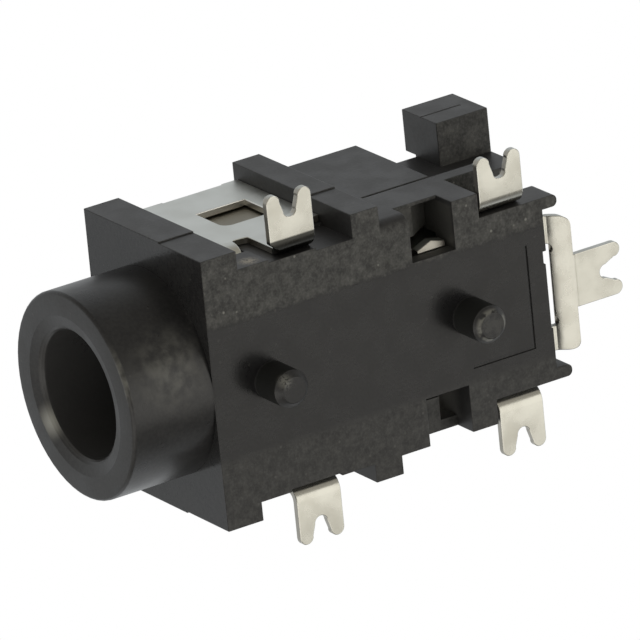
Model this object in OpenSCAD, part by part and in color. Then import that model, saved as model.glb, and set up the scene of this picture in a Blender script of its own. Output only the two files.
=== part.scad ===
// Surface-mount socket for a 3.5 mm audio plug: one moulded housing and five folded contacts.
// The board lies at Z = 0 and the plug goes in along +Y, from the mouth of the barrel.
// Lengths along Y are given from the front face of the flange, and the whole part is then
// shifted so that the origin is on the axis of the front locating peg, at the board.

/* [Barrel] */
// Outside diameter of the barrel
barrel_d = 6.0; // [5.6:0.1:6.0]
// Length of the barrel in front of the flange
barrel_l = 2.65; // [2:0.05:4]
// Diameter of the plug bore
bore_d = 3.7; // [3.6:0.05:3.8]
// Width of the lead-in at the mouth of the bore
mouth_w = 0.46; // [0.2:0.02:0.6]
// Depth of the lead-in at the mouth of the bore
mouth_l = 0.27; // [0.1:0.01:0.5]
// Radius of the outer rim of the barrel
rim_r = 0.12; // [0.05:0.01:0.3]

/* [Housing] */
// Width over the flange, the lugs and the rear blocks
flange_w = 8.0; // [7.6:0.1:8.4]
// Height of the flange above the board
flange_h = 6.0; // [6:0.1:6.6]
// Thickness of the flange
flange_t = 1.15; // [0.9:0.05:1.3]
// Width over the side walls
wall_w = 6.84; // [6.7:0.02:6.9]
// Width of the narrow rear part
rear_w = 5.4; // [5.3:0.05:5.5]
// Height of the body behind the flange
body_h = 5.88; // [5.7:0.02:6]
// Height of the parting line round the housing
parting_z = 2.13; // [2:0.01:2.3]
// Height of the body between the rear blocks
rear_h = 5.5; // [5.3:0.02:5.6]
// Length from the flange to the lower rear wall
lower_l = 11.12; // [11:0.02:11.3]
// Length from the flange to the rear end of the upper part
upper_l = 12.32; // [12.2:0.02:12.6]

/* [Locating pegs] */
// Distance of the front peg from the flange's front face
front_peg_y = 1.85; // [1.7:0.05:2]
// Distance between the two pegs
peg_pitch = 6.55; // [6.4:0.05:6.7]
// Diameter of the pegs
peg_d = 1.1; // [0.9:0.05:1.2]
// Length of the pegs below the board face
peg_l = 1.18; // [0.8:0.02:1.4]
// Chamfer at the tip of the pegs
peg_chamfer = 0.17; // [0.1:0.01:0.25]

/* [Contacts] */
// Thickness of the contact strip
sheet_t = 0.2; // [0.16:0.02:0.22]
// Outer radius of the fold at each solder fork
fold_r = 0.45; // [0.35:0.05:0.5]
// Width of a solder fork
fork_w = 1.45; // [1.2:0.05:1.45]
// Reach of the front side forks from the middle of the part
front_reach = 5.18; // [5:0.02:5.4]
// Reach of the rear side forks from the middle of the part
rear_reach = 4.46; // [4.3:0.02:4.6]
// Length from the flange to the tips of the rear fork
tail_reach = 13.54; // [13.4:0.02:13.7]

/* [Hidden] */
$fn = 64;

eps = 0.01;
axis_z = barrel_d / 2;
bore_r = bore_d / 2;
flange_x = flange_w / 2;
wall_x = wall_w / 2;
rear_x = rear_w / 2;

// the board half of the flange stands a hair inside the upper half, at the parting line
parting_step = 0.04;
// narrow groove along the parting line
seam_w = 0.07;
seam_d = 0.08;

// lugs behind the front contacts, and posts in front of the rear contacts
lug_y0 = 4.9;
lug_y1 = 5.8;
post_y0 = 8.18;
post_y1 = 9.04;
upper_wall_y1 = 8.9;

// blocks at the upper rear corners
block_x0 = 2.75;
block_y0 = 10.59;
block_z0 = 4.25;

// bars that carry on from the side walls, above the rear contacts
bar_y1 = 10.5;
bar_z0 = 1.62;

// cheeks either side of the rear terminal
cheek_x0 = 2.35;
cheek_y1 = 11.62;
cheek_h = 1.06;
cheek_r = 0.16;

// underside of the upper rear part
overhang_z = 2.9;

// chamber for the springs, behind the bore
chamber_x = 2.25;
chamber_y0 = 1.9;
chamber_y1 = 10.56;
chamber_z0 = 1.0;
chamber_z1 = 5.0;
tip_room_x = 1.6;
tip_room_y1 = 11.5;
tip_room_z0 = 1.3;
tip_room_z1 = 4.6;

// slots in the board face that show the switch blades, with a deep pocket on -X and a sloping one on +X
slot_y0 = 6.75;
slot_x0 = 2.02;
slot_h = 0.78;
pocket_y0 = 7.65;
pocket_x1 = 3.1;
pocket_z1 = 1.6;
ramp_line = [[6.85, slot_h], [7.4, 0.88], [post_y0, 1.45]];

// seats for the plates of the front contacts
seat_x = wall_x - 0.08;
seat_z0 = 1.55;
leg_room = 0.1;
plate_x0 = seat_x + eps;
plate_x1 = plate_x0 + sheet_t;
fork_y0 = 2.26;
fork_y1 = fork_y0 + fork_w;
plate_y0 = flange_t + eps;
plate_y1 = lug_y0 - eps;
plate_z0 = 1.65;
plate_z1 = 5.8;
ring_reach = front_reach - 0.1;

// +X wall between the front fork and the lug, and its round edge behind the lug
side_floor_x = 3.26;
wall_edge_r = 0.4;

// window in the sleeve plate
window_y0 = 2.55;
window_y1 = 4.15;
window_z0 = 2.82;
window_z1 = 4.28;
window_r = 0.3;

// leaf of the sleeve contact, folded down behind its plate, which shows in the window
leaf_gap = 0.05;
leaf_x1 = plate_x0 - leaf_gap;
leaf_x0 = leaf_x1 - sheet_t;
leaf_y0 = 2.4;
leaf_y1 = 4.35;
leaf_z0 = 2.65;
hem_r = sheet_t + leaf_gap / 2;
hem_rise = 0.1;
hem_z = plate_z1 + hem_rise - hem_r;
leaf_press = [1.45, 2.075];
leaf_lip = [1.5, 1.8];

// rolled near edge of the sleeve plate, in front of its leg
roll_y1 = 2.08;
roll_r = 0.5;
roll_lip = 0.2;

// rear side contacts
rear_fork_y0 = 9.1;
rear_fork_y1 = rear_fork_y0 + fork_w;
rear_leg_x = rear_x + eps;
rear_leg_z1 = 1.32;
tip_switch_reach = rear_reach - 0.08;
blade_x0 = 1.85;
blade_x1 = blade_x0 + sheet_t;
blade_gap = 0.35;
blade_y0 = 7.2;
blade_low_y1 = 8.14;
blade_tip_z = 0.9;
blade_step_z = 1.1;
blade_z0 = 0.52;
blade_z1 = 2.2;

// rear terminal
tail_w = 1.56;
tail_bar_x0 = -2.05;
tail_bar_x1 = 1.95;
tail_flat_y = 12.1;
tail_slope = 43;
tail_top_z = 0.47;
tail_fold_r = 0.3;
tail_corner_r = 0.28;
tail_bar_back = 0.09;
tail_corner_y = tail_flat_y - tail_bar_back - tail_corner_r;
tail_slit_x0 = -1.17;
tail_slit_x1 = 0.98;
tail_relief_r = 0.155;
tail_relief_back = 0.1;
tail_slit_drop = 0.12;
tail_finger_x = 0.6;
tail_finger_y = 9.6;
tail_finger_z = 1.5;
tail_lip = [9.2, 1.35];

// shallow notch in the rear edge of the board face, beside the slit of the rear terminal
notch_x0 = -1.15;
notch_x1 = 1.14;
notch_d = 0.05;
notch_end_x0 = 0.77;
notch_end_d = 0.11;

// spring of the ring contact
ring_z0 = 2.5;
ring_z1 = 3.5;
ring_plate_z1 = 4.2;
ring_bend_y = 3.03;

// places where the springs run along the plug and press on it
spring_x = 2.0;
press_x = 1.72;
lip_x = 1.95;

// V of a solder fork, and the round ends of its prongs
v_depth = 0.72;
v_r = 0.2;
prong_r = 0.22;

// room round the contacts where they pass through the housing
play = 0.06;

// colours
black_plastic = [0.11, 0.11, 0.12];
tin_plate = [0.8, 0.79, 0.76];

// 2-D helpers
function unit(v) = v / norm(v);
function left_of(v) = [-v[1], v[0]];
function arc(c, r, a0, a1, n = 8) =
    [for (i = [0:n]) c + r * [cos(a0 + (a1 - a0) * i / n), sin(a0 + (a1 - a0) * i / n)]];
// the far face of a strip of thickness t whose near face follows the points p
function strip_side(p, t) =
    [for (i = [0:len(p) - 1])
        let (a = i == 0 ? p[1] - p[0] : p[i] - p[i - 1],
             b = i == len(p) - 1 ? p[i] - p[i - 1] : p[i + 1] - p[i],
             na = left_of(unit(a)),
             m = unit(na + left_of(unit(b))))
        p[i] + m * t / (m * na)];
function reversed(p) = [for (i = [len(p) - 1:-1:0]) p[i]];

module strip(p, t = sheet_t) {
    polygon(concat(p, reversed(strip_side(p, t))));
}

// a flat shape drawn in (X, Z), given a thickness along Y
module along_y(y0, y1) {
    translate([0, y1, 0]) rotate([90, 0, 0]) linear_extrude(y1 - y0) children();
}

// a flat shape drawn in (Y, Z), given a thickness along X
module along_x(x0, x1) {
    translate([x0, 0, 0]) rotate([90, 0, 90]) linear_extrude(x1 - x0) children();
}

// a flat shape drawn in (X, Y), given a thickness along Z
module along_z(z0, z1) {
    translate([0, 0, z0]) linear_extrude(z1 - z0) children();
}

module both_sides() {
    children();
    mirror([1, 0, 0]) children();
}

module box(x0, x1, y0, y1, z0, z1) {
    translate([x0, y0, z0]) cube([x1 - x0, y1 - y0, z1 - z0]);
}

// moves a piece from the flange's front face to the part's own origin
module placed() {
    translate([0, -front_peg_y, 0]) children();
}

// plan of the housing, from stations of [y, half width] that each run to the next station
module stepped_plan(stations) {
    half = [for (i = [0:len(stations) - 2]) each
        [[stations[i][1], stations[i][0]], [stations[i][1], stations[i + 1][0]]]];
    polygon(concat(half, reversed([for (p = half) [-p[0], p[1]]])));
}

module barrel_shape() {
    outer = axis_z;
    inner = bore_r / 2;
    lead_in = concat(
        [for (a = [90:-15:45]) [bore_r + mouth_w * (1 - sin(a)), -barrel_l + mouth_l * (1 - cos(a))]],
        [[bore_r + mouth_w, -barrel_l]]);
    profile = concat(
        [[inner, -barrel_l + mouth_l]], lead_in,
        arc([outer - rim_r, -barrel_l + rim_r], rim_r, 270, 360, 5),
        [[outer, flange_t / 2], [inner, flange_t / 2]]);
    translate([0, 0, axis_z]) rotate([-90, 0, 0]) rotate_extrude($fn = 96) polygon(profile);
}

module peg(y) {
    r = peg_d / 2;
    translate([0, y, 0]) mirror([0, 0, 1]) {
        translate([0, 0, -0.5]) cylinder(r = r, h = 0.5 + peg_l - peg_chamfer);
        translate([0, 0, peg_l - peg_chamfer]) cylinder(r1 = r, r2 = r - peg_chamfer, h = peg_chamfer);
    }
}

module cheek() {
    along_z(0, cheek_h) {
        translate([cheek_x0, lower_l - 1]) square([rear_x - cheek_x0, cheek_y1 - cheek_r - lower_l + 1]);
        translate([cheek_x0 + cheek_r, cheek_y1 - cheek_r]) circle(r = cheek_r);
        translate([rear_x - cheek_r, cheek_y1 - cheek_r]) circle(r = cheek_r);
        translate([cheek_x0 + cheek_r, cheek_y1 - 2 * cheek_r])
            square([rear_x - cheek_x0 - 2 * cheek_r, 2 * cheek_r]);
    }
}

module housing_outside() {
    lower_flange_x = flange_x - parting_step;
    along_z(0, parting_z)
        stepped_plan([[0, lower_flange_x], [flange_t, wall_x], [lug_y0, lower_flange_x], [lug_y1, wall_x],
                      [post_y1, rear_x], [lower_l, rear_x]]);
    along_z(parting_z, body_h)
        stepped_plan([[0, flange_x], [flange_t, wall_x], [lug_y0, flange_x], [lug_y1, wall_x],
                      [upper_wall_y1, rear_x], [lower_l, rear_x]]);
    along_z(body_h - eps, flange_h) {
        translate([-flange_x, 0]) square([flange_w, flange_t]);
        for (s = [-1, 1])
            translate([s * (flange_x + wall_x) / 2 - (flange_x - wall_x) / 2, lug_y0])
                square([flange_x - wall_x, lug_y1 - lug_y0]);
    }
    box(-rear_x, rear_x, lower_l - 1, upper_l, overhang_z, body_h);
    both_sides() {
        box(rear_x - 0.5, flange_x, block_y0, upper_l, block_z0, flange_h);
        box(rear_x - 0.5, wall_x, post_y1 - 0.3, bar_y1, bar_z0, parting_z);
        cheek();
    }
    barrel_shape();
    peg(front_peg_y);
    peg(front_peg_y + peg_pitch);
}

// room inside for the plug and the springs
module plug_room() {
    translate([0, -barrel_l - 1, axis_z]) rotate([-90, 0, 0])
        cylinder(r = bore_r, h = barrel_l + 1 + chamber_y0 + 0.5, $fn = 96);
    box(-chamber_x, chamber_x, chamber_y0, chamber_y1, chamber_z0, chamber_z1);
    box(-tip_room_x, tip_room_x, chamber_y1 - eps, tip_room_y1, tip_room_z0, tip_room_z1);
}

// seat of a front contact on the +X wall
module front_seat() {
    box(seat_x, wall_x + 1, flange_t, lug_y0, seat_z0, flange_h + 1);
    box(seat_x, wall_x + 1, fork_y0 - leg_room, fork_y1 + leg_room, -1, seat_z0 + eps);
}

// slot in the board face with the room for the switch blade, on the +X side
module blade_slot() {
    box(slot_x0, wall_x + 1, slot_y0, post_y0, -1, slot_h);
    box(blade_x0 - eps, blade_x1 + blade_gap, blade_y0 - blade_gap, post_y0, blade_z0 - play, pocket_z1);
}

// sloping pocket over the slot, and the round edge in front of it, on the +X side
module sloping_pocket() {
    lip_t = 0.1;
    along_x(slot_x0, wall_x - lip_t) polygon(concat(ramp_line, [[post_y0, 0], [ramp_line[0][0], 0]]));
    along_y(lug_y1, slot_y0 + eps) difference() {
        translate([wall_x - wall_edge_r, -1]) square([1, 1 + wall_edge_r]);
        translate([wall_x - wall_edge_r, wall_edge_r]) circle(r = wall_edge_r);
    }
}

// way in for the leg of a rear side contact
module rear_leg_slot() {
    box(chamber_x - eps, rear_x + 1, rear_fork_y0 - play, rear_fork_y1 + play, rear_leg_z1 - sheet_t - play,
        rear_leg_z1 + play);
}

// shallow seam lines of the mould on the board face and the side walls
module mould_seams() {
    line_w = 0.08;
    line_d = 0.05;
    corner_x = -1.55;
    corner_y = 10.45;
    cross_x1 = 1.47;
    long_y0 = 8.4;
    wall_seam_y0 = 6.65;
    block_seam_y1 = upper_l - 0.4;
    block_seam_z = 5;
    block_seam_w = 0.05;
    block_seam_d = 0.015;
    box(corner_x - line_w / 2, cross_x1, corner_y - line_w / 2, corner_y + line_w / 2, -1, line_d);
    box(corner_x - line_w / 2, corner_x + line_w / 2, long_y0, corner_y, -1, line_d);
    both_sides() {
        box(wall_x - seam_d, wall_x + 1, wall_seam_y0, post_y1 + 1, parting_z, parting_z + seam_w);
        box(flange_x - block_seam_d, flange_x + 1, block_y0 - 1, block_seam_y1, block_seam_z,
            block_seam_z + block_seam_w);
    }
}

module housing() {
    color(black_plastic) placed() difference() {
        housing_outside();
        plug_room();
        both_sides() {
            front_seat();
            blade_slot();
            rear_leg_slot();
        }
        mould_seams();
        sloping_pocket();
        mirror([1, 0, 0]) box(slot_x0, pocket_x1, pocket_y0, post_y0, -1, pocket_z1);
        // lower top between the rear blocks
        box(-block_x0, block_x0, upper_wall_y1, upper_l + 1, rear_h, flange_h + 1);
        // deeper wall between the sleeve fork and the lug
        box(side_floor_x, wall_x + 1, fork_y1, lug_y0, -1, seat_z0);
        // well for the rolled edge of the sleeve plate
        box(plate_x1 - roll_r - roll_lip - play, wall_x + 1, plate_y0 - eps, fork_y0 - leg_room + eps,
            plate_z0 - roll_r - play, plate_z0 + eps);
        // slot for the leaf of the sleeve contact, and its way into the chamber
        box(leaf_x0 - play, wall_x + 1, leaf_y0 - play, leaf_y1 + play, leaf_lip[1], flange_h + 1);
        box(chamber_x - eps, leaf_x1, leaf_y0 - play, leaf_y1 + play, leaf_lip[1], leaf_z0 + play);
        // way in for the spring of the ring contact
        box(-wall_x - 1, -chamber_x + eps, ring_bend_y - 0.25, lug_y0 - 0.1, ring_z0 - 0.1, ring_z1 + 0.1);
        // slot in the rear wall for the tip contact
        box(tail_bar_x0 - play, tail_bar_x1 + play, chamber_y1 - eps, lower_l + 1, tail_top_z - eps,
            tail_top_z + sheet_t + play);
        box(-tail_finger_x - 0.1, tail_finger_x + 0.1, chamber_y1 - 1.2, chamber_y1, tail_top_z - play,
            chamber_z0 + eps);
        box(notch_x0, notch_x1, lower_l - notch_d, lower_l + 1, -1, tail_top_z);
        box(notch_end_x0, notch_x1, lower_l - notch_end_d, lower_l + 1, -1, tail_top_z);
    }
}

// outline of a fork: the fold is at Y = 0 and the prongs point along +Y
module fork_outline(w, l) {
    h = w / 2;
    v_y = l - v_depth + v_r;
    prong_y = l - prong_r;
    gap_x = h - 2 * prong_r + eps;
    difference() {
        union() {
            translate([-h, 0]) square([w, prong_y]);
            for (s = [-1, 1])
                translate([s * (h - prong_r), prong_y]) circle(r = prong_r);
        }
        translate([0, v_y]) circle(r = v_r);
        polygon([[-v_r, v_y], [v_r, v_y], [gap_x, prong_y], [gap_x, l + eps], [-gap_x, l + eps],
                 [-gap_x, prong_y]]);
    }
}

// fork, fold and upright leg of a contact on the +X side
module side_terminal(y0, leg_x, leg_z1, reach) {
    flat_x = leg_x + fold_r;
    translate([flat_x, y0 + fork_w / 2, 0]) rotate([0, 0, -90]) along_z(0, sheet_t)
        fork_outline(fork_w, reach - flat_x);
    along_y(y0, y0 + fork_w)
        strip(concat([[flat_x + eps, 0]], arc([flat_x, fold_r], fold_r, 270, 180), [[leg_x, leg_z1]]),
              -sheet_t);
}

module sleeve_contact() {
    color(tin_plate) placed() {
        side_terminal(fork_y0, plate_x0, plate_z0 + eps, front_reach);
        along_x(plate_x0, plate_x1) difference() {
            translate([plate_y0, plate_z0]) square([plate_y1 - plate_y0, plate_z1 - plate_z0]);
            translate([window_y0, window_z0 + window_r])
                square([window_y1 - window_y0, window_z1 - window_z0 - window_r]);
            translate([window_y0 + window_r, window_z0])
                square([window_y1 - window_y0 - window_r, 2 * window_r]);
            translate([window_y0 + window_r, window_z0 + window_r]) circle(r = window_r);
            translate([(roll_y1 + fork_y0) / 2, plate_z0]) circle(d = fork_y0 - roll_y1);
            translate([leaf_y0, hem_z]) square([leaf_y1 - leaf_y0, 2 * hem_r]);
        }
        // rolled edge that turns into the housing
        along_y(plate_y0, roll_y1)
            strip(concat(arc([plate_x1 - roll_r, plate_z0 + eps], roll_r, 0, -90),
                         [[plate_x1 - roll_r - roll_lip, plate_z0 + eps - roll_r]]), -sheet_t);
        // leaf that is folded down behind the plate and presses on the plug's sleeve
        along_y(leaf_y0, leaf_y1)
            strip(concat([[plate_x1, window_z1 + hem_r]], arc([plate_x1 - hem_r, hem_z], hem_r, 0, 180),
                         [[leaf_x0, leaf_z0], leaf_press, leaf_lip]));
    }
}

module ring_contact() {
    ring_plate_y1 = plate_y1 - 0.2;
    ring_press_y = 6.6;
    color(tin_plate) placed() mirror([1, 0, 0]) {
        side_terminal(fork_y0, plate_x0, plate_z0 + eps, ring_reach);
        along_x(plate_x0, plate_x1) difference() {
            translate([fork_y0, plate_z0]) square([ring_plate_y1 - fork_y0, ring_plate_z1 - plate_z0]);
            translate([ring_bend_y, ring_z0 - play])
                square([ring_plate_y1 - ring_bend_y - sheet_t, ring_z1 - ring_z0 + 2 * play]);
        }
        // spring that runs back along the plug to its ring
        along_z(ring_z0, ring_z1)
            strip([[plate_x0, fork_y0 + 0.2], [plate_x0, ring_bend_y], [spring_x, ring_bend_y + 1.3],
                   [lip_x, ring_press_y - 0.4], [press_x, ring_press_y], [lip_x, ring_press_y + 0.5]],
                  -sheet_t);
    }
}

// switch contact on the +X side: fork, leg that turns into the chamber, and its blade
module switch_contact(reach) {
    turn_r = 0.25;
    leg_x1 = rear_leg_x + sheet_t;
    placed() {
        side_terminal(rear_fork_y0, rear_leg_x, rear_leg_z1 - turn_r, reach);
        along_y(rear_fork_y0, rear_fork_y1)
            strip(concat([[leg_x1, rear_leg_z1 - turn_r - eps]],
                         arc([leg_x1 - turn_r, rear_leg_z1 - turn_r], turn_r, 0, 90),
                         [[blade_x0, rear_leg_z1]]));
        along_x(blade_x0, blade_x1)
            polygon([[blade_y0, blade_tip_z], [blade_low_y1, blade_z0], [blade_low_y1, blade_step_z],
                     [rear_fork_y1, blade_step_z], [rear_fork_y1, blade_z1], [blade_y0, blade_z1]]);
    }
}

module tip_switch_contact() {
    color(tin_plate) switch_contact(tip_switch_reach);
}

module ring_switch_contact() {
    color(tin_plate) mirror([1, 0, 0]) switch_contact(rear_reach);
}

// cuts the bar of the rear terminal to a round corner, beside the +X edge of its fork
module bar_corner_cut(bar_x) {
    along_z(-1, 2) difference() {
        translate([tail_w / 2, tail_corner_y]) square([bar_x, 1]);
        translate([tail_w / 2 - eps, tail_corner_y - eps])
            square([bar_x - tail_w / 2 - tail_corner_r + eps, tail_corner_r + eps]);
        translate([bar_x - tail_corner_r, tail_corner_y]) circle(r = tail_corner_r);
    }
}

module tip_contact() {
    inner_r = tail_fold_r - sheet_t;
    bottom = arc([tail_flat_y, tail_fold_r], tail_fold_r, 270, 270 - tail_slope, 6);
    foot = bottom[len(bottom) - 1];
    rise = tail_top_z - foot[1] - inner_r * (1 - cos(tail_slope));
    knee = [foot[0] - rise / tan(tail_slope), foot[1] + rise];
    knee_c = [knee[0] - inner_r * sin(tail_slope), knee[1] - inner_r * cos(tail_slope)];
    top = arc(knee_c, inner_r, 90 - tail_slope, 90, 6);
    fold_line = concat([[tail_flat_y + eps, 0]], bottom, top);
    slit_y0 = lower_l - notch_end_d;
    color(tin_plate) placed() {
        translate([0, tail_flat_y, 0]) along_z(0, sheet_t) fork_outline(tail_w, tail_reach - tail_flat_y);
        difference() {
            along_x(tail_bar_x0, tail_bar_x1)
                strip(concat(fold_line, [[chamber_y1 + 0.1, tail_top_z]]), -sheet_t);
            // slit behind the rear wall, with a round relief at each end
            box(tail_slit_x0, tail_slit_x1, slit_y0, knee[0], tail_top_z - tail_slit_drop, tail_top_z + 1);
            for (x = [tail_slit_x0, tail_slit_x1])
                translate([x, knee[0] - tail_relief_back, -1]) cylinder(r = tail_relief_r, h = 3);
            // round corners of the bar, either side of the fork
            bar_corner_cut(tail_bar_x1);
            mirror([1, 0, 0]) bar_corner_cut(-tail_bar_x0);
        }
        // finger that rises to the plug's tip
        along_x(-tail_finger_x, tail_finger_x)
            strip([[chamber_y1 + 0.2, tail_top_z], [chamber_y1 - 0.3, tail_top_z],
                   [tail_finger_y, tail_finger_z], tail_lip], -sheet_t);
    }
}

housing();
sleeve_contact();
ring_contact();
tip_contact();
tip_switch_contact();
ring_switch_contact();
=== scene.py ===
"""Looks of the audio jack socket: bevelled copies of the CAD pieces, finishes, light and camera."""

import math

import bmesh
import bpy
from mathutils import Matrix, Quaternion, Vector
from mathutils.bvhtree import BVHTree


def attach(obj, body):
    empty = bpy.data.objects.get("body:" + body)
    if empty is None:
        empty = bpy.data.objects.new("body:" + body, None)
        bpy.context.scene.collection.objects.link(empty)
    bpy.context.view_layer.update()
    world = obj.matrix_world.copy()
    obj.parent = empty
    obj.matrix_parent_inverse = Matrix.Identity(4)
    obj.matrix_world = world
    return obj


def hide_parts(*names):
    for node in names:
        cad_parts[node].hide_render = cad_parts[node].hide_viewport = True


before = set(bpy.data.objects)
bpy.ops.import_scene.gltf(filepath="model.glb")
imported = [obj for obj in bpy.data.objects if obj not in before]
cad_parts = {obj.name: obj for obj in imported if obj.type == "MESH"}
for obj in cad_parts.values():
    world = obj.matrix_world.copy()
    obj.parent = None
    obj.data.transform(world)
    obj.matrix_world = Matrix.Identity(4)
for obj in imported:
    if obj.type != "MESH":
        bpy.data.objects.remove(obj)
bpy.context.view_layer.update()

scene = bpy.context.scene
scene.view_settings.view_transform = "Standard"

# camera fitted to the photograph: its axes and its place, in the part's own frame
CAMERA_RIGHT = (-0.094956, 0.832237, -0.546227)
CAMERA_UP = (0.931243, 0.268178, 0.246713)
CAMERA_BACK = (0.351810, -0.485243, -0.800480)
CAMERA_PLACE = (0.104799, -0.141080, -0.235606)
CAMERA_LENS = 604.58
CAMERA_SENSOR = 36
CAMERA_NEAR = 0.01
CAMERA_FAR = 10
PART_CENTRE = (0, 0.0034, 0.0029)

# the meshes are worked on in millimetres
PER_MM = 1000
WELD = 0.0004
FLAT_ANGLE = math.radians(0.5)
SHARP_ANGLE = math.radians(28)
CREASE_ANGLE = math.radians(13)
EDGE_ROUND = 0.022
EDGE_SEGMENTS = 2

# a face of a strip is a cut one when more than this lies behind it, and how deep the measuring ray starts
SHEET_LIMIT = 0.26
RAY_START = 0.001

# far wall of the slit by the tail, and how its upper edge moves, towards square to the sheet
SLIT_X = (-1.33, 1.14)
SLIT_Y = (9.60, 9.72)
SLIT_Z = 0.62
SLIT_WALL_Y = 9.657
SLIT_LEAN = (0, 0.088, -0.047)

# lip at the end of the +X switch blade: its outline, its lowest height, its lean and its thickness
LIP_OUTLINE = ((2.04, 5.35), (2.12, 5.35), (2.30, 5.84), (2.20, 6.28), (2.04, 6.28))
LIP_Z = 0.42
LIP_LEAN = 0.2
LIP_T = 0.30

# slot beside the leg of the front +X fork: its middle, the wall on the leg and its top,
# how far that wall moves, and where the bend of the fork starts and ends
RELIEF_Y = 0.32
RELIEF_WALL_Y = 0.41
RELIEF_SLACK = 0.005
RELIEF_Z = 1.76
RELIEF_SHIFT = 0.30
BEND_X = (3.55, 3.80)

# floor under the tips of the pegs, in metres, and how dark its shadow gets
FLOOR_Z = -0.00119
FLOOR_RADIUS = 0.12
FLOOR_SIDES = 96
SHADOW_REACH = 0.006
SHADOW_TONE = 0.45

# room and backdrop: colours, levels, and the directions over which one gives way to the next
WHITE = (1, 1, 1, 1)
BACKDROP_COLOUR = (0.95, 0.98, 1.0, 1)
BACKDROP_LEVEL = 0.70
BACKDROP_RANGE = (-0.05, 0.55)
ROOM_COLOUR = (1.0, 0.95, 0.86, 1)
ROOM_LEVELS = (0.32, 0.10)
DARK_SIDE = (-0.85, 0.45, -0.27)
DARK_RANGE = (0.65, 0.92)
MIRRORED_WHITE = 0.05

# soft boxes: the key to the right of the camera, a long one under it, and one to its left.
# Each has a name, a place, a size, a level, a colour and a turn in degrees.
LAMPS = (
    ("key", (-0.008, 0.14, -0.235), (0.24, 0.18), 0.82, (1.0, 0.985, 0.94), 0),
    ("fill_low", (-0.095, -0.100, -0.225), (0.10, 0.30), 0.78, (1.0, 0.985, 0.95), -45),
    ("fill_front", (-0.088, -0.226, -0.060), (0.16, 0.16), 1.05, (1.0, 0.985, 0.95), 0),
)

# places in a piece's material list
FACE, EDGE, CUT = 0, 1, 2

# the plastic's darkest and lightest tones, on its faces and on its round edges
PLASTIC = ((0.024, 0.024, 0.025, 1), (0.036, 0.036, 0.036, 1))
PLASTIC_EDGE = ((0.027, 0.027, 0.028, 1), (0.048, 0.048, 0.048, 1))

# the tin's colour, its stains and its roughness, on its faces, its round edges and its sheared edges
TIN = ((0.72, 0.71, 0.64, 1), (0.62, 0.60, 0.52, 1), 0.26)
TIN_EDGE = ((0.80, 0.79, 0.72, 1), (0.72, 0.70, 0.63, 1), 0.20)
TIN_CUT = ((0.50, 0.48, 0.43, 1), (0.42, 0.40, 0.35, 1), 0.36)

# tones that lie over the plastic: how much of each shows, and its colour
# painted shade: the board face is painted darker than the rest of the moulding
BOARD_TONE = (0.6, (0.004, 0.004, 0.005, 1))
CRUMB_TONE = (0.85, (0.152, 0.153, 0.144, 1))
FLECK_TONE = (1.0, (0.34, 0.34, 0.31, 1))
# painted light: the insides of the +X slot and of the -X slot's pocket and inner corner are painted lighter
SLOT_TONE = (0.4, (0.11, 0.11, 0.10, 1))
POCKET_TONE = (1.0, (0.26, 0.26, 0.25, 1))
CORNER_TONE = (1.0, (0.22, 0.22, 0.21, 1))
# painted shade: the ledge in the -X slot and the sides of the pegs are painted darker
LEDGE_TONE = (0.4, (0.004, 0.004, 0.004, 1))
PEG_TONE = (0.9, (0.006, 0.007, 0.006, 1))
# painted light: the inside of the bore is painted lighter
BORE_TONE = (0.5, (0.10, 0.10, 0.10, 1))
WEAR_TONE = (1.0, (0.19, 0.19, 0.17, 1))
# partly wear and partly a painted highlight on the lead-in
LEAD_IN_TONE = (1.0, (0.36, 0.36, 0.33, 1))
# painted light: a warm spot on the wall under the rolled edge, reflected from it
ROLL_REFLECTION_TONE = (0.8, (0.50, 0.44, 0.33, 1))

# tones that lie over the tin
PLATE_TONE = (0.8, (0.64, 0.66, 0.64, 1))
# the leaf behind the window is painted darker and browner
LEAF_TONE = (1.0, (0.29, 0.272, 0.225, 1))
# painted highlight: the walls of the plate's window are painted pale
WINDOW_TONE = (1.0, (0.95, 0.94, 0.90, 1))
# painted shade and painted dark reflection: the bend under the front +X fork is painted dark
BEND_TONE = (0.92, (0.03, 0.03, 0.028, 1))

# Soft boxes on the part, in millimetres. Along an axis, each starts, is full, is full and ends.
# None leaves that end open.
SLOT_BOX = {"x": (1.80, 1.90, 3.24, 3.32), "y": (4.86, 4.94, 6.34, 6.40), "z": (0.02, 0.15, 1.6, 1.8)}
POCKET_BOX = {"x": (-3.2, -3.1, -2.0, -1.95), "y": (5.75, 5.79, 6.35, 6.39), "z": (0.4, 1.6, 1.7, 1.8)}
CORNER_BOX = {"x": (-2.6, -2.1, -2.0, -1.9), "y": (4.85, 4.89, 5.79, 5.81), "z": (0.70, 0.76, 0.82, 0.9)}
LEDGE_BOX = {"x": (None, None, -3.12, -3.05), "y": (5.75, 5.80, 6.34, 6.38), "z": (0.70, 0.76, 0.82, 0.9)}
FRONT_BOX = {"y": (-1.96, -1.88, -1.84, -1.78)}
REAR_TIP_BOX = {"y": (2.0, 3.0, None, None), "z": (-1.185, -1.165, -1.14, -1.05)}
LEAF_BOX = {"x": (2.8, 2.9, 3.315, 3.335), "z": (2.3, 2.5, None, None)}
WINDOW_BOX = {"x": (3.34, 3.36, None, None), "y": (0.55, 0.65, 2.8, 2.9), "z": (2.6, 2.7, 5.3, 5.5)}
BEND_BOX = {"x": (3.2, 3.3, 3.85, 3.91), "y": (None, None, 2.2, 2.5), "z": (None, None, 0.4, 0.5)}

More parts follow.
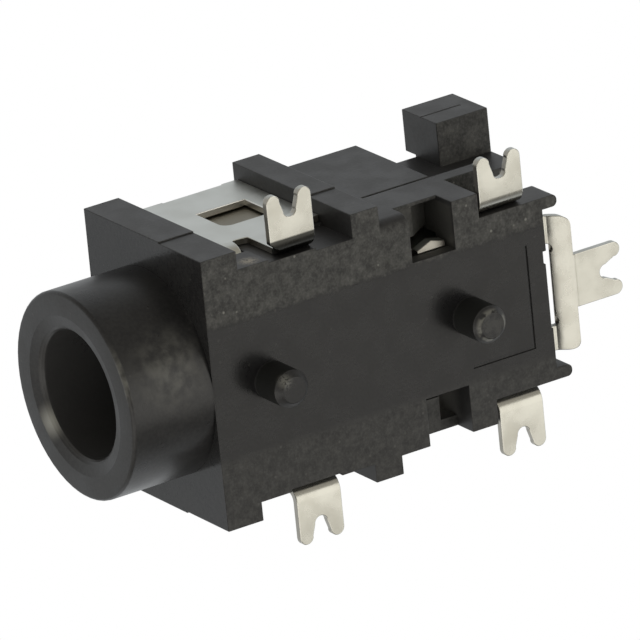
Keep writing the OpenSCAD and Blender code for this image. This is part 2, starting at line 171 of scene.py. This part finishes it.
# worn places, a lead-in patch that is partly wear and partly a painted highlight, and a spot of painted
# light reflected from the rolled edge: a middle and a reach, in millimetres
FLANK_WEAR = ((1.1, -3.0, 0.3), 1.6)
RIM_WEAR = ((1.2, -4.44, 0.35), 1.2)
LEAD_IN_WEAR_AND_HIGHLIGHT = ((-1.2, -4.43, 4.6), 0.65)
FRONT_TIP_WEAR = ((0.32, -0.25, -1.12), 0.30)
ROLL_REFLECTION_SPOT = ((3.42, -0.13, 0.36), 0.4)

# axis of the bore over the board, in millimetres
BORE_Z = 3.0

# where things on the plastic start and where they are full: along an axis, or from the axis of the bore
BARREL_Y = (-1.86, -1.96)
OFF_BARREL_Y = (-1.96, -1.86)
STRIP_X = (2.06, 2.26)
LOW_STRIP_X = (-1.6, -1.9)
LOW_STRIP_SHARE = 0.55
FLECKED_X = (-1.0, 1.0)
PEG_Z = (-0.02, -0.12)
BORE_R = (1.98, 1.86)
BORE_Y = (3.0, 1.0)
RIM_R = (2.84, 2.9)
RIM_Y = (-4.36, -4.42)
LEAD_IN_R = (2.33, 2.28)

# parts of a face's direction along an axis, from not counting to counting in full
BOARD_NZ = (-0.6, -0.95)
PEG_SIDE_NZ = (-0.5, -0.2)
FRONT_NY = (-0.7, -0.95)
BARREL_SIDE_NY = (-0.9, -0.6)
BARREL_UPPER_NX = (0.3, 0.9)
LEAD_IN_NY = (-0.3, -0.6)
PLATE_NX = (0.7, 0.95)
WINDOW_NX = (0.6, 0.3)
BEND_NX = (0.3, 0.1)

# the plastic's roughness and reflection, and how they change by place
PLASTIC_ROUGH = (0.40, 0.48)
MIDDLE_POLISH = -0.16
COARSE_MATT = 0.14
PEG_MATT = 0.25
FRONT_POLISH = -0.28
BARREL_POLISH = -0.13
REFLECTION = 0.5
FRONT_REFLECTION = -0.20
UPPER_REFLECTION = -0.16

# how the tin's roughness varies, and how much rougher its side plate is
TIN_VARIES = (-0.04, 0.05)
PLATE_MATT = 0.16


def add_camera():
    data = bpy.data.cameras.new("camera")
    data.lens = CAMERA_LENS
    data.sensor_width = CAMERA_SENSOR
    data.clip_start = CAMERA_NEAR
    data.clip_end = CAMERA_FAR
    camera = bpy.data.objects.new("camera", data)
    scene.collection.objects.link(camera)
    axes = Matrix((CAMERA_RIGHT, CAMERA_UP, CAMERA_BACK)).transposed()
    camera.matrix_world = Matrix.Translation(CAMERA_PLACE) @ axes.to_4x4()
    scene.camera = camera


def add_lamp(name, place, size, level, colour, turn):
    """A soft box that points at the middle of the part. At level 1 its face is white."""
    data = bpy.data.lights.new(name, "AREA")
    data.shape = "RECTANGLE"
    data.size, data.size_y = size
    data.energy = level * math.pi * size[0] * size[1]
    data.color = colour
    lamp = bpy.data.objects.new(name, data)
    scene.collection.objects.link(lamp)
    lamp.location = place
    aim = Vector(PART_CENTRE) - Vector(place)
    spin = Quaternion((0, 0, 1), math.radians(turn))
    lamp.rotation_euler = (aim.to_track_quat("-Z", "Y") @ spin).to_euler()
    lamp.visible_camera = False


class Nodes:
    """Short calls that add nodes to one node tree. Most of them return the new node's output."""

    def __init__(self, tree):
        self.nodes = tree.nodes
        self.links = tree.links

    def add(self, kind, **settings):
        node = self.nodes.new(kind)
        for name, value in settings.items():
            setattr(node, name, value)
        return node

    def put(self, socket, value):
        if isinstance(value, bpy.types.NodeSocket):
            self.links.new(value, socket)
        else:
            socket.default_value = value

    def fold(self, operation, values):
        """Joins the values by one operation, from left to right."""
        result = values[0]
        for value in values[1:]:
            node = self.add("ShaderNodeMath", operation=operation)
            self.put(node.inputs[0], result)
            self.put(node.inputs[1], value)
            result = node.outputs[0]
        return result

    def plus(self, *values):
        return self.fold("ADD", values)

    def minus(self, *values):
        return self.fold("SUBTRACT", values)

    def times(self, *values):
        return self.fold("MULTIPLY", values)

    def most(self, *values):
        return self.fold("MAXIMUM", values)

    def step(self, value, start, end, low=0.0, high=1.0, kind="SMOOTHSTEP"):
        """Goes from low to high as value goes from start to end."""
        node = self.add("ShaderNodeMapRange", interpolation_type=kind)
        for socket, number in zip(node.inputs, (value, start, end, low, high)):
            self.put(socket, number)
        return node.outputs[0]

    def along(self, vector, direction):
        """How far a vector points along a direction."""
        node = self.add("ShaderNodeVectorMath", operation="DOT_PRODUCT")
        self.put(node.inputs[0], vector)
        node.inputs[1].default_value = direction
        return node.outputs["Value"]

    def light(self, colour, level):
        node = self.add("ShaderNodeBackground")
        self.put(node.inputs["Color"], colour)
        self.put(node.inputs["Strength"], level)
        return node.outputs[0]

    def blend(self, share, a, b):
        """One shader that gives way to another."""
        node = self.add("ShaderNodeMixShader")
        for socket, value in zip(node.inputs, (share, a, b)):
            self.put(socket, value)
        return node.outputs[0]


class Finish(Nodes):
    """A procedural material. Its lengths are in millimetres."""

    def __init__(self, name):
        self.material = bpy.data.materials.new(name)
        self.material.use_nodes = True
        super().__init__(self.material.node_tree)
        self.shader = self.nodes["Principled BSDF"]
        scaled = self.add("ShaderNodeVectorMath", operation="SCALE")
        self.put(scaled.inputs[0], self.add("ShaderNodeTexCoord").outputs["Object"])
        scaled.inputs["Scale"].default_value = PER_MM
        self.place = scaled.outputs[0]
        self.x, self.y, self.z = self.split(self.place)
        self.nx, self.ny, self.nz = self.split(self.add("ShaderNodeNewGeometry").outputs["Normal"])

    def split(self, vector):
        node = self.add("ShaderNodeSeparateXYZ")
        self.put(node.inputs[0], vector)
        return node.outputs

    def noise(self, per_mm, detail, shift=(0, 0, 0)):
        mapping = self.add("ShaderNodeMapping")
        self.put(mapping.inputs["Vector"], self.place)
        mapping.inputs["Location"].default_value = shift
        node = self.add("ShaderNodeTexNoise")
        self.put(node.inputs["Vector"], mapping.outputs[0])
        node.inputs["Scale"].default_value = per_mm
        node.inputs["Detail"].default_value = detail
        return node.outputs[0]

    def near(self, point, reach):
        """1 at the point, falling to 0 at the given distance from it."""
        node = self.add("ShaderNodeVectorMath", operation="DISTANCE")
        self.put(node.inputs[0], self.place)
        node.inputs[1].default_value = point
        return self.step(node.outputs["Value"], reach, 0.0)

    def box(self, sides):
        """1 inside a soft box, falling to 0 outside it."""
        shares = []
        for axis, (start, full, full_end, end) in sides.items():
            value = getattr(self, axis)
            if start is not None:
                shares.append(self.step(value, start, full))
            if end is not None:
                shares.append(self.step(value, end, full_end))
        return self.times(*shares)

    def axis_distance(self, axis_z):
        """Distance from the axis of the bore."""
        up = self.minus(self.z, axis_z)
        root = self.add("ShaderNodeMath", operation="SQRT")
        self.put(root.inputs[0], self.plus(self.times(self.x, self.x), self.times(up, up)))
        return root.outputs[0]

    def mix(self, share, a, b):
        node = self.add("ShaderNodeMix", data_type="RGBA")
        self.put(node.inputs["Factor"], share)
        for socket, colour in zip([s for s in node.inputs if s.type == "RGBA"], (a, b)):
            self.put(socket, colour)
        return [s for s in node.outputs if s.type == "RGBA"][0]

    def paint(self, under, tone, *masks):
        """Lays a tone over a colour where all the masks are."""
        share, colour = tone
        return self.mix(self.times(*masks, share), under, colour)

    def specks(self, per_mm, size, share):
        """Small round flecks: one in some of the cells of a given pitch."""
        node = self.add("ShaderNodeTexVoronoi")
        self.put(node.inputs["Vector"], self.place)
        node.inputs["Scale"].default_value = per_mm
        red = self.add("ShaderNodeSeparateColor")
        self.put(red.inputs[0], node.outputs["Color"])
        shown = self.step(red.outputs[0], 1 - share, 1 - share + 0.05)
        return self.times(self.step(node.outputs["Distance"], size, size * 0.4), shown)

    def bump(self, height, strength, depth):
        node = self.add("ShaderNodeBump")
        self.put(node.inputs["Height"], height)
        node.inputs["Strength"].default_value = strength
        node.inputs["Distance"].default_value = depth / PER_MM
        self.put(self.shader.inputs["Normal"], node.outputs[0])

    def finish(self, colour, roughness, metallic):
        self.put(self.shader.inputs["Base Color"], colour)
        self.put(self.shader.inputs["Roughness"], roughness)
        self.shader.inputs["Metallic"].default_value = metallic
        return self.material


def plastic_finish(name, dark, light):
    """Black moulding: polished in the middle of the board face and on the flange's front, coarse beside the
    middle, and scuffed on the barrel."""
    f = Finish(name)
    grain = f.noise(per_mm=10.0, detail=3.0)
    mottle = f.noise(per_mm=1.2, detail=3.0)
    fine = f.noise(per_mm=15.0, detail=2.0, shift=(3, 1, 7))
    patches = f.noise(per_mm=3.0, detail=5.0, shift=(1, 6, 2))
    crumb = f.noise(per_mm=8.0, detail=5.0, shift=(4, 4, 1))

    # the board face without the barrel's underside, and the coarse strips along its two sides
    flat = f.times(f.step(f.nz, *BOARD_NZ), f.step(f.y, *OFF_BARREL_Y))
    ragged = f.plus(f.x, f.plus(f.times(fine, 0.10), f.times(patches, 0.30)))
    beside = f.most(f.step(ragged, *STRIP_X), f.step(ragged, *LOW_STRIP_X, high=LOW_STRIP_SHARE))
    coarse = f.times(flat, beside)
    barrel = f.step(f.y, *BARREL_Y)
    radius = f.axis_distance(BORE_Z)

    # base colour, the board face painted darker as painted shade, then the crumbs and flecks of the coarse
    # strips
    colour = f.mix(f.step(f.plus(f.times(grain, 0.6), f.times(mottle, 0.4)), 0.35, 0.65), dark, light)
    colour = f.paint(colour, BOARD_TONE, flat)
    crumbs = f.plus(f.step(crumb, 0.35, 0.75, low=0.15, high=0.50), f.step(fine, 0.40, 0.80, high=0.35),
                    f.step(patches, 0.35, 0.70, high=0.40))
    colour = f.paint(colour, CRUMB_TONE, crumbs, coarse)
    flecks = f.times(f.specks(per_mm=3.0, size=0.16, share=0.5), f.step(f.x, *FLECKED_X, low=0.3))
    colour = f.paint(colour, FLECK_TONE, flecks, f.plus(f.times(coarse, 0.65), 0.06))

    # the +X slot, the -X slot's pocket and inner corner, and the bore are painted lighter as painted light;
    # the -X slot's ledge and the sides of the pegs are painted darker as painted shade
    colour = f.paint(colour, SLOT_TONE, f.box(SLOT_BOX))
    colour = f.paint(colour, POCKET_TONE, f.box(POCKET_BOX))
    colour = f.paint(colour, CORNER_TONE, f.box(CORNER_BOX))
    colour = f.paint(colour, LEDGE_TONE, f.box(LEDGE_BOX))
    pegs = f.times(f.step(f.z, *PEG_Z), f.step(f.nz, *PEG_SIDE_NZ))
    colour = f.paint(colour, PEG_TONE, pegs)
    colour = f.paint(colour, BORE_TONE, f.step(radius, *BORE_R), f.step(f.y, *BORE_Y))

    # wear: the barrel's flank, its rim and the tips of the pegs; a lead-in patch that is partly wear and
    # partly a painted highlight; and painted light on the wall under the rolled edge, reflected from it
    rubbed = f.step(f.noise(per_mm=2.8, detail=6.0, shift=(5, 2, 0)), 0.30, 0.74)
    flank = f.times(f.near(*FLANK_WEAR), barrel, rubbed)
    rim = f.times(f.near(*RIM_WEAR), f.step(f.y, *RIM_Y), f.step(radius, *RIM_R), rubbed)
    chipped = f.step(f.noise(per_mm=3.2, detail=3.0, shift=(2, 9, 4)), 0.42, 0.56)
    rear_tip = f.times(f.box(REAR_TIP_BOX), chipped)
    front_tip = f.times(f.near(*FRONT_TIP_WEAR), f.step(fine, 0.34, 0.5))
    colour = f.paint(colour, WEAR_TONE, f.most(f.times(flank, 0.65), rim, rear_tip, front_tip))
    lead_in = f.times(f.near(*LEAD_IN_WEAR_AND_HIGHLIGHT), f.step(radius, *LEAD_IN_R), f.step(f.ny, *LEAD_IN_NY))
    colour = f.paint(colour, LEAD_IN_TONE, lead_in)
    colour = f.paint(colour, ROLL_REFLECTION_TONE, f.near(*ROLL_REFLECTION_SPOT), f.step(fine, 0.30, 0.55))

    # roughness and reflection
    front = f.times(f.step(f.ny, *FRONT_NY), f.box(FRONT_BOX))
    round_side = f.times(barrel, f.step(f.ny, *BARREL_SIDE_NY))
    upper = f.times(barrel, f.step(f.nx, *BARREL_UPPER_NX))
    rough = f.plus(f.step(mottle, 0.3, 0.7, *PLASTIC_ROUGH),
                   f.times(flat, f.minus(1.0, beside), MIDDLE_POLISH), f.times(coarse, COARSE_MATT),
                   f.times(pegs, PEG_MATT), f.times(front, FRONT_POLISH), f.times(round_side, BARREL_POLISH))
    reflection = f.plus(f.times(front, FRONT_REFLECTION), f.times(upper, UPPER_REFLECTION), REFLECTION)
    f.put(f.shader.inputs["Specular IOR Level"], reflection)
    f.bump(f.times(grain, f.plus(f.times(coarse, 0.8), 0.25)), strength=0.35, depth=0.03)
    return f.finish(colour, rough, 0.0)


def tin_finish(name, colour, stain, roughness):
    """Satin tin plate with faint stains. The side plate is duller, the leaf behind its window is painted
    darker and browner, the window's walls are painted pale as a painted highlight, and the bend under the
    front +X fork is painted dark as painted shade and a painted dark reflection."""
    f = Finish(name)
    cloud = f.noise(per_mm=1.1, detail=3.0)
    fine = f.noise(per_mm=16.0, detail=2.0)
    plate = f.step(f.nx, *PLATE_NX)
    tint = f.mix(f.step(cloud, 0.40, 0.80, high=0.6), colour, stain)
    tint = f.paint(tint, PLATE_TONE, plate)
    tint = f.paint(tint, LEAF_TONE, f.box(LEAF_BOX))
    # painted highlight on the window's walls
    tint = f.paint(tint, WINDOW_TONE, f.box(WINDOW_BOX), f.step(f.nx, *WINDOW_NX))
    # painted shade and painted dark reflection on the bend under the front +X fork
    tint = f.paint(tint, BEND_TONE, f.box(BEND_BOX), f.step(f.nx, *BEND_NX))
    smoothest, roughest = (roughness + change for change in TIN_VARIES)
    satin = f.plus(f.step(cloud, 0.3, 0.7, smoothest, roughest), f.times(plate, PLATE_MATT))
    f.bump(fine, strength=0.12, depth=0.004)
    return f.finish(tint, satin, 1.0)


def cut_faces(bm):
    """Marks the sheared edges of a strip: the faces with more than the sheet's thickness behind them."""
    tree = BVHTree.FromBMesh(bm)
    for face in bm.faces:
        start = face.calc_center_median() - face.normal * RAY_START
        depth = tree.ray_cast(start, -face.normal)[3]
        face.material_index = CUT if depth is None or depth > SHEET_LIMIT else FACE


def lean_slit_wall(bm):
    """Leans the far wall of the tail's slit towards square to the sheet."""
    for vert in bm.verts:
        x, y, z = vert.co
        if SLIT_X[0] < x < SLIT_X[1] and SLIT_Y[0] < y < SLIT_Y[1] and z > SLIT_Z:
            share = min(1, (y - SLIT_Y[0]) / (SLIT_WALL_Y - SLIT_Y[0]))
            vert.co += share * Vector(SLIT_LEAN)


def widen_relief(bm):
    """Widens the slot beside the front +X fork's leg. The fork itself stays as wide as it was."""
    for vert in bm.verts:
        x, y, z = vert.co
        if RELIEF_Y < y < RELIEF_WALL_Y + RELIEF_SLACK and z < RELIEF_Z and x < BEND_X[1]:
            share = min(1, (BEND_X[1] - x) / (BEND_X[1] - BEND_X[0]))
            vert.co.y += RELIEF_SHIFT * share * (y - RELIEF_Y) / (RELIEF_WALL_Y - RELIEF_Y)


def add_blade_lip(bm):
    """Adds the small bent lip of the switch blade that shows in the slot of the board face."""
    low = []
    high = []
    for x, y in LIP_OUTLINE:
        z = LIP_Z + LIP_LEAN * (x - LIP_OUTLINE[0][0])
        low.append(bm.verts.new((x, y, z)))
        high.append(bm.verts.new((x, y, z + LIP_T)))
    bm.faces.new(high)
    bm.faces.new(reversed(low))
    for i in range(len(low)):
        bm.faces.new((low[i - 1], low[i], high[i], high[i - 1]))


# what is changed in the copy of a piece before its edges are rounded
RESHAPED = {
    "sleeve_contact": widen_relief,
    "tip_contact": lean_slit_wall,
    "tip_switch_contact": add_blade_lip,
}


def bevelled(node, is_strip):
    """A copy of a CAD mesh with its sharp edges rounded, which stands for the node."""
    name = node.name
    bm = bmesh.new()
    bm.from_mesh(node.data)
    bm.transform(Matrix.Scale(PER_MM, 4))
    bmesh.ops.remove_doubles(bm, verts=bm.verts, dist=WELD)
    if name in RESHAPED:
        RESHAPED[name](bm)
    bm.normal_update()
    for face in bm.faces:
        face.material_index = FACE
    if is_strip:
        cut_faces(bm)
    bmesh.ops.dissolve_limit(bm, angle_limit=FLAT_ANGLE, verts=bm.verts, edges=bm.edges,
                             use_dissolve_boundaries=False, delimit={"MATERIAL"})
    sharp = [e for e in bm.edges if e.is_convex and e.calc_face_angle(0) > SHARP_ANGLE]
    bmesh.ops.bevel(bm, geom=sharp, offset=EDGE_ROUND, offset_type="OFFSET", segments=EDGE_SEGMENTS,
                    profile=0.5, affect="EDGES", clamp_overlap=False, material=EDGE)
    bmesh.ops.triangulate(bm, faces=bm.faces)
    for face in bm.faces:
        face.smooth = True
    for edge in bm.edges:
        edge.smooth = edge.calc_face_angle(0) < CREASE_ANGLE
    bm.transform(Matrix.Scale(1 / PER_MM, 4))
    mesh = bpy.data.meshes.new(name + "_look")
    bm.to_mesh(mesh)
    bm.free()
    piece = bpy.data.objects.new(name + "_look", mesh)
    scene.collection.objects.link(piece)
    normals = piece.modifiers.new("normals", "WEIGHTED_NORMAL")
    normals.keep_sharp = True
    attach(piece, "root")
    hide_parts(name)
    return piece


def add_floor():
    """Pale ground under the pegs with a soft shadow, which is seen from above only."""
    bm = bmesh.new()
    bmesh.ops.create_circle(bm, cap_ends=True, segments=FLOOR_SIDES, radius=FLOOR_RADIUS)
    mesh = bpy.data.meshes.new("floor")
    bm.to_mesh(mesh)
    bm.free()
    floor = bpy.data.objects.new("floor", mesh)
    floor.location = (0, 0, FLOOR_Z)
    scene.collection.objects.link(floor)
    material = bpy.data.materials.new("floor")
    material.use_nodes = True
    n = Nodes(material.node_tree)
    n.nodes.remove(n.nodes["Principled BSDF"])
    shadow = n.add("ShaderNodeAmbientOcclusion")
    shadow.inputs["Distance"].default_value = SHADOW_REACH
    glow = n.add("ShaderNodeEmission")
    n.put(glow.inputs["Color"], n.step(shadow.outputs["AO"], 0, 1, SHADOW_TONE, 1, kind="LINEAR"))
    clear = n.add("ShaderNodeBsdfTransparent")
    from_below = n.add("ShaderNodeNewGeometry").outputs["Backfacing"]
    surface = n.blend(from_below, glow.outputs[0], clear.outputs[0])
    n.put(n.nodes["Material Output"].inputs["Surface"], surface)
    mesh.materials.append(material)
    floor.visible_diffuse = False
    floor.visible_glossy = False
    floor.visible_transmission = False
    floor.visible_shadow = False


def add_world():
    """A pale backdrop behind the part, and a dim warm room on the camera's side. The camera sees white."""
    world = bpy.data.worlds.new("world")
    scene.world = world
    world.use_nodes = True
    n = Nodes(world.node_tree)
    where = n.add("ShaderNodeTexCoord").outputs["Generated"]
    behind = n.step(n.along(where, [-v for v in CAMERA_BACK]), *BACKDROP_RANGE)
    room_level = n.step(n.along(where, DARK_SIDE), *DARK_RANGE, *ROOM_LEVELS, kind="LINEAR")
    backdrop = n.light(BACKDROP_COLOUR, BACKDROP_LEVEL)
    room = n.blend(behind, n.light(ROOM_COLOUR, room_level), backdrop)
    paths = n.add("ShaderNodeLightPath").outputs
    mirrored = n.times(paths["Is Glossy Ray"], behind, MIRRORED_WHITE)
    plain = n.most(paths["Is Camera Ray"], paths["Is Transmission Ray"], mirrored)
    shown = n.blend(plain, room, n.light(WHITE, 1.0))
    n.put(n.nodes["World Output"].inputs["Surface"], shown)


add_camera()
add_floor()
plastics = (
    plastic_finish("black_plastic", *PLASTIC),
    plastic_finish("black_plastic_edge", *PLASTIC_EDGE),
)
tins = (
    tin_finish("tin_plate", *TIN),
    tin_finish("tin_plate_edge", *TIN_EDGE),
    tin_finish("tin_cut", *TIN_CUT),
)

for name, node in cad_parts.items():
    is_housing = name == "housing"
    piece = bevelled(node, not is_housing)
    for material in plastics if is_housing else tins:
        piece.data.materials.append(material)

add_world()
for lamp in LAMPS:
    add_lamp(*lamp)
